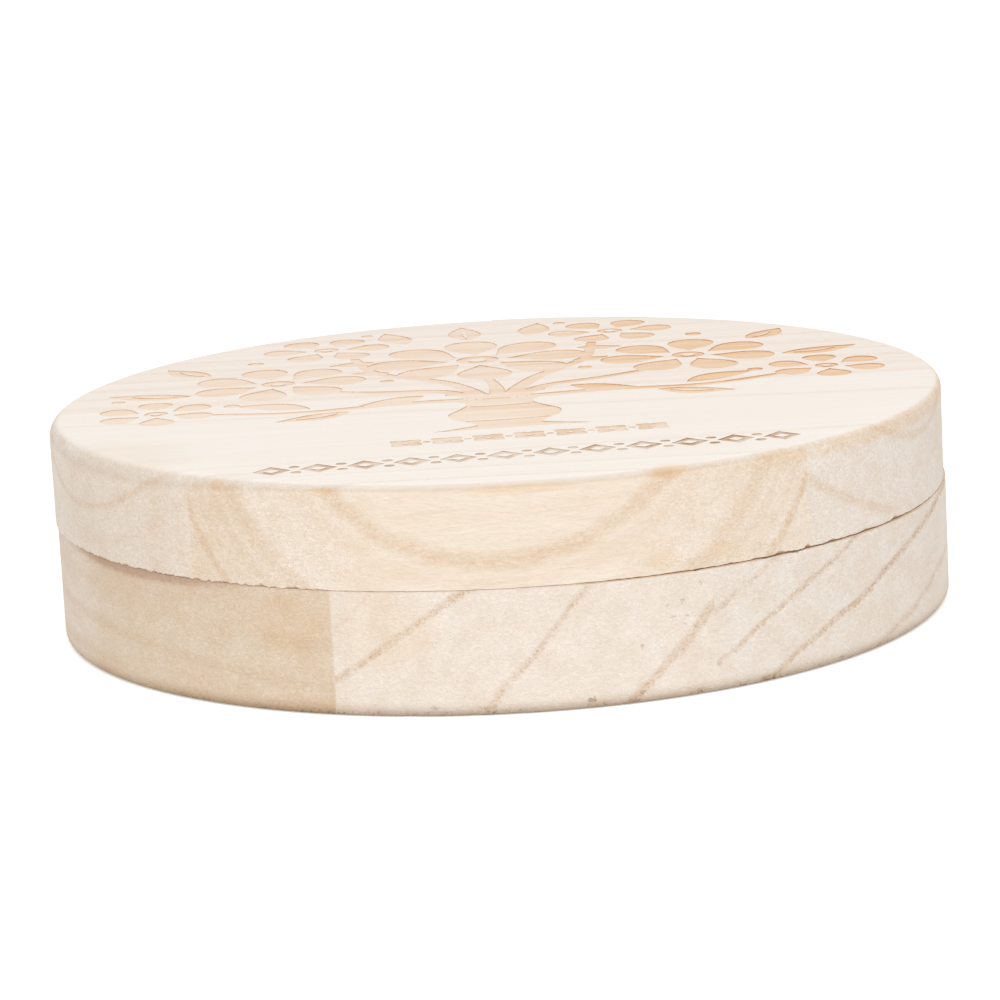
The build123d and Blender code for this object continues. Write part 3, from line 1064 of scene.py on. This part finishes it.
def sawnColor(tree, look, at):
    # Broad clouds of tone, the year rings, and the darker specks that break them up
    waver = times(tree, maths(tree, "SUBTRACT", grained(tree, at["spot"], "wander"), 0.5), look["wander"])
    waver = maths(tree, "MULTIPLY_ADD", maths(tree, "SUBTRACT", at["speck"], 0.5), look["jitter"], waver)
    faded = grained(tree, at["spot"], "fade")
    rings = times(
        tree,
        yearRings(tree, look, at, waver),
        between(tree, at["speck"], *ringLook["fades"], *ringLook["onSpecks"]),
        between(tree, faded, *ringLook["fades"], look["broken"], ringLook["strongest"]),
        between(tree, at["flat"], 0.0, 1.0, 1.0, ringLook["onFlats"]),
    )
    shade = between(tree, grained(tree, at["inGrain"], "broad"), 0.3, 0.72)
    wall = blended(tree, shade, linear(*look["pale"]), linear(*look["shade"]))
    top = blended(tree, shade, linear(*look["topPale"]), linear(*look["topShade"]))
    color = blended(tree, at["flat"], wall, top)
    color = blended(tree, rings, color, linear(*look["ring"]))
    dark = times(tree, rings, look["specks"] * 2, between(tree, at["grit"], 0.5, 0.66))
    return blended(tree, dark, color, linear(*look["speck"]))


def fibred(tree, look, at, color):
    # Rough fibres: knobbly on end grain, streaks along the grain elsewhere, long and faint on the flats
    endGrain = between(tree, maths(tree, "ABSOLUTE", at["facingEnd"]), 0.08, 0.42)
    streaks = grained(tree, at["spot"], look["along"] + "Streaks")
    rough = mixed(tree, endGrain, streaks, grained(tree, at["spot"], "knobbly"))
    reach = between(tree, endGrain, 0.0, 1.0, look["streak"], look["fuzz"])
    light = maths(tree, "MULTIPLY_ADD", between(tree, rough, 0.3, 0.7, -1.0, 1.0), reach, 1.0)
    fibre = grained(tree, at["inGrain"], "fibre")
    level = between(tree, at["facingUp"], 0.8, 0.99)
    light = mixed(tree, level, light, between(tree, fibre, 0.25, 0.75, *surface["calm"]))
    color = put(tree, "VectorMath", {0: color, "Scale": light}, operation="SCALE").outputs[0]
    return color, mixed(tree, level, rough, times(tree, fibre, surface["flatFibre"]))


def marked(tree, look, at, wallsOnly, color):
    for place, reach, tint, strength in look["marks"]:
        mask = markMask(tree, at["spot"], at["speck"], place, reach, strength)
        if wallsOnly:
            mask = times(tree, mask, between(tree, at["flat"], 0.0, 1.0, 1.0, 0.0))
        color = tinted(tree, mask, color, tint)
    if look["blots"]:
        # Small and ragged: the place is shaken by a fine noise before the blot is drawn
        shaking = put(tree, "TexNoise", {"Vector": at["spot"], **blotShake}).outputs["Color"]
        shaken = vectors(tree, "MULTIPLY_ADD", shaking, (shakeReach,) * 3, at["spot"])
        shaken = vectors(tree, "SUBTRACT", shaken, (shakeReach / 2,) * 3)
        for place, reach, tint, strength in look["blots"]:
            color = tinted(tree, markMask(tree, shaken, at["grit"], place, reach, strength), color, tint)
    return color


def baseDirtAndShade(tree, at, color):
    # Painted shade along the foot, specks of dirt in patches along it, and painted shade on the wood in the
    # seam
    foot, dirt, shaded = dirtAndShade["foot"], dirtAndShade["dirt"], dirtAndShade["seam"]
    # Painted shade along the foot, next to the floor
    low = times(tree, between(tree, at["up"], *foot["height"]), between(tree, at["flat"], 0.0, 0.2, 1.0, 0.0))
    color = tinted(tree, times(tree, low, foot["strength"]), color, foot["tint"])
    specks = times(tree, between(tree, at["up"], *dirt["height"]), between(tree, at["speck"], 0.52, 0.62))
    patchy = between(tree, grained(tree, at["spot"], "dirt"), 0.42, 0.56)
    color = tinted(tree, times(tree, specks, patchy, dirt["strength"]), color, dirt["tint"])
    # Painted shade on the base's outer flat top, where it shows in the gap under the lid
    fromAxis = measured(tree, stretched(tree, at["spot"], (1.0, 1.0, 0.0)))
    inSeam = times(
        tree,
        between(tree, fromAxis, radius - shaded["reach"], radius - shaded["reach"] / 2),
        between(tree, at["up"], baseHeight - 0.04, baseHeight + 0.03),
        between(tree, at["across"], *shaded["left"]),
        between(tree, at["across"], *shaded["right"]),
    )
    return tinted(tree, inSeam, color, shaded["tint"])


def glueBleed(tree, at, color):
    line = glue["baseShares"][0] * radius
    share = between(tree, at["across"], line - glue["bleed"], line, 0.0, glue["bleedShare"])
    return blended(tree, share, color, linear(*woodLooks["base_middle_strip"]["shade"]))


def lidStainAndShade(tree, look, at, color):
    # The sanded top edge is a little darker everywhere with painted shade that dims its highlight, less so at
    # the right, and has a tan stain broken up at the right; torn wood that faces down is darkened with
    # painted shade
    rim, tearShade, stain = dirtAndShade["rim"], dirtAndShade["tearShade"], dirtAndShade["stain"]
    facingUp, speck = at["facingUp"], at["speck"]
    # Painted shade on the rounded top edge, where the key light would give a bright line
    edge = times(tree, between(tree, facingUp, 0.1, 0.5), between(tree, facingUp, 0.8, 0.998, 1.0, 0.0))
    edge = times(tree, edge, between(tree, at["across"], *rim["right"]))
    color = tinted(tree, edge, color, rim["tint"])
    # Painted shade on torn wood of the lid's edge that faces down
    torn = times(tree, between(tree, facingUp, -0.15, -0.4), between(tree, facingUp, -0.97, -0.9))
    color = tinted(tree, torn, color, tearShade["tint"])
    ragged = maths(tree, "MULTIPLY_ADD", maths(tree, "SUBTRACT", speck, 0.5), stain["ragged"], at["up"])
    stained = times(
        tree,
        between(tree, ragged, *(lidHeight - depth for depth in stain["depth"])),
        between(tree, facingUp, 0.75, 0.98, 1.0, 0.0),
        between(tree, at["across"], *stain["right"], look["rim"]),
        between(tree, speck, 0.36, 0.58, 0.3, 1.2),
    )
    return tinted(tree, stained, color, stain["tint"])


def scorched(tree, at, burnName, color):
    burn = burns[burnName]
    share = between(tree, at["across"], *burnLook["across"], burn["left"], burn["right"])
    if burnName.startswith("carved"):
        uneven = between(tree, grained(tree, at["inGrain"], "burntLines"), *burnLook["lines"])
    else:
        uneven = between(tree, grained(tree, at["spot"], "burntPatches"), *burnLook["patches"])
    return tinted(tree, times(tree, share, uneven), color, burn["tint"])


def woodMaterial(strip, burnName):
    look = {**plainWood, **woodLooks[strip]}
    ofBase = strip.startswith("base")
    material, tree, shader = newMaterial(strip + "_" + burnName)
    at = woodPlaces(tree, look)
    color, height = fibred(tree, look, at, sawnColor(tree, look, at))
    color = marked(tree, look, at, ofBase, color)
    color = baseDirtAndShade(tree, at, color) if ofBase else lidStainAndShade(tree, look, at, color)
    if strip == "base_left_strip":
        color = glueBleed(tree, at, color)
    if burns[burnName]:
        color = scorched(tree, at, burnName, color)
    tree.links.new(color, shader.inputs["Base Color"])
    shader.inputs["Roughness"].default_value = surface["roughness"]
    shader.inputs["Specular IOR Level"].default_value = surface["specular"]
    inputs = {"Strength": surface["bump"], "Distance": surface["bumpDepth"] * mm, "Height": height}
    tree.links.new(put(tree, "Bump", inputs).outputs[0], shader.inputs["Normal"])
    return material


def inScene(name, data):
    item = bpy.data.objects.new(name, data)
    bpy.context.scene.collection.objects.link(item)
    return item


def makeStrips(names, solid, shares, axis, place, body):
    edges = [-radius * 2] + [share * radius for share in shares] + [radius * 2]
    for name, low, high in zip(names, edges[:-1], edges[1:]):
        mesh, tags = stripMesh(name + "_wood", solid, axis, low, high)
        used = sorted({polygon.material_index for polygon in mesh.polygons})
        for index in used:
            mesh.materials.append(woodMaterial(name, tags[index]))
        for polygon in mesh.polygons:
            polygon.material_index = used.index(polygon.material_index)
        strip = inScene(name + "_wood", mesh)
        mesh.transform(place.to_3x3().to_4x4())
        strip.location = place.translation * mm
        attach(strip, body)
        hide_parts(name)


makeStrips(baseStrips, baseSolid(), glue["baseShares"], 0, basePlace, "base")
print("base strips made")
makeStrips(lidStrips, lidSolid(), glue["lidShares"], 1, lidPlace, "lid")
print("lid strips made")


# Metal fittings keep the shape that model.glb gives them
metalLooks = {
    "turnedBrass": {"color": (214, 176, 110), "rough": 0.3, "grainScale": 6.0},
    "zincSteel": {"color": (196, 197, 198), "rough": 0.36, "grainScale": 4.0},
    "nickelPlate": {"color": (206, 205, 202), "rough": 0.22, "grainScale": 2.0},
}
metalWear = {
    "texture": (0.9, 3.0, 0.6),
    "shade": 0.86,
    "smoother": 0.06,
    "rougher": 0.1,
    "bump": 0.2,
    "bumpDepth": 0.03,
}
fittings = {
    "pivot_bush": "turnedBrass",
    "lid_insert": "turnedBrass",
    "head_washer": "zincSteel",
    "pivot_screw": "zincSteel",
    "base_magnet": "nickelPlate",
    "lid_magnet": "nickelPlate",
}


def metalMaterial(name, color, rough, grainScale):
    material, tree, shader = newMaterial(name)
    spot = stretched(tree, put(tree, "TexCoord").outputs["Object"], (1 / mm, 1 / mm, 1 / mm))
    wear = cloud(tree, spot, *metalWear["texture"])
    lines = cloud(tree, stretched(tree, spot, (0.2, 0.2, 1.0)), grainScale, 2.0)
    worn = linear(*[part * metalWear["shade"] for part in color])
    tone = blended(tree, between(tree, wear, 0.35, 0.7), linear(*color), worn)
    tree.links.new(tone, shader.inputs["Base Color"])
    gloss = between(tree, wear, 0.3, 0.7, rough - metalWear["smoother"], rough + metalWear["rougher"])
    tree.links.new(gloss, shader.inputs["Roughness"])
    shader.inputs["Metallic"].default_value = 1.0
    inputs = {"Strength": metalWear["bump"], "Distance": metalWear["bumpDepth"] * mm, "Height": lines}
    tree.links.new(put(tree, "Bump", inputs).outputs[0], shader.inputs["Normal"])
    return material


metals = {name: metalMaterial(name, **look) for name, look in metalLooks.items()}
for node, metal in fittings.items():
    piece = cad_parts[node]
    piece.data.materials.clear()
    piece.data.materials.append(metals[metal])
print("fittings finished")

# Floor, background and light
studio = {
    "floorSize": 3.0,
    "floorDrop": 0.02,
    "floorTone": 0.9,
    "floorGlow": 0.4,
    "worldLight": 0.72,
    "keyPower": 5.9,
    "keyPlace": (0.0, -0.8, 0.97),
    "keySize": 0.7,
}


def seenStraight(tree):
    path = put(tree, "LightPath").outputs
    seen = maths(tree, "MAXIMUM", path["Is Camera Ray"], path["Is Glossy Ray"])
    return maths(tree, "MAXIMUM", seen, path["Is Transmission Ray"])


def makeFloor():
    half = studio["floorSize"] / 2
    corners = [(-half, -half, 0), (half, -half, 0), (half, half, 0), (-half, half, 0)]
    mesh = bpy.data.meshes.new("floor")
    mesh.from_pydata(corners, [], [(0, 1, 2, 3)])
    floor = inScene("floor", mesh)
    floor.location.z = -studio["floorDrop"] * mm
    material, tree, shader = newMaterial("paleFloor")
    tree.nodes.remove(shader)
    output = tree.nodes["Material Output"]
    matte = put(tree, "BsdfDiffuse", {"Color": (*[studio["floorTone"]] * 3, 1.0)})
    strength = times(tree, seenStraight(tree), studio["floorGlow"])
    glow = put(tree, "Emission", {"Color": (1, 1, 1, 1), "Strength": strength})
    both = put(tree, "AddShader", {0: matte.outputs[0], 1: glow.outputs[0]})
    tree.links.new(both.outputs[0], output.inputs["Surface"])
    mesh.materials.append(material)


def makeWorld():
    world = bpy.data.worlds.new("studioWhite")
    bpy.context.scene.world = world
    world.use_nodes = True
    tree = world.node_tree
    background = tree.nodes["Background"]
    background.inputs["Color"].default_value = (1, 1, 1, 1)
    strength = maths(tree, "MULTIPLY_ADD", seenStraight(tree), 1 - studio["worldLight"], studio["worldLight"])
    tree.links.new(strength, background.inputs["Strength"])


def makeKey():
    lamp = bpy.data.lights.new("softKey", "AREA")
    lamp.energy = studio["keyPower"]
    lamp.size = studio["keySize"]
    key = inScene("softKey", lamp)
    key.location = studio["keyPlace"]
    key.rotation_euler = (-Vector(studio["keyPlace"])).to_track_quat("-Z", "Y").to_euler()


makeFloor()
makeWorld()
makeKey()
bpy.context.scene.view_settings.view_transform = "Standard"

# Camera, looking along +Y and a little down, rolled so that the box's right side stands higher
view = {
    "lens": 149.1,
    "distance": 562.6,
    "elevation": 12.0,
    "roll": 3.05,
    "target": (-0.23, 0.15, 14.23),
    "sensor": 36.0,
    "clip": (0.01, 10.0),
}


def makeCamera():
    data = bpy.data.cameras.new("camera")
    data.lens = view["lens"]
    data.sensor_width = view["sensor"]
    data.clip_start, data.clip_end = view["clip"]
    camera = inScene("camera", data)
    down = math.radians(view["elevation"])
    back = Vector((0, -math.cos(down), math.sin(down))) * view["distance"]
    place = (Vector(view["target"]) + back) * mm
    aimed = Matrix.Rotation(math.pi / 2 - down, 4, "X")
    rolled = Matrix.Rotation(-math.radians(view["roll"]), 4, "Z")
    camera.matrix_world = Matrix.Translation(place) @ (aimed @ rolled)
    bpy.context.scene.camera = camera


makeCamera()
print("studio and camera set")
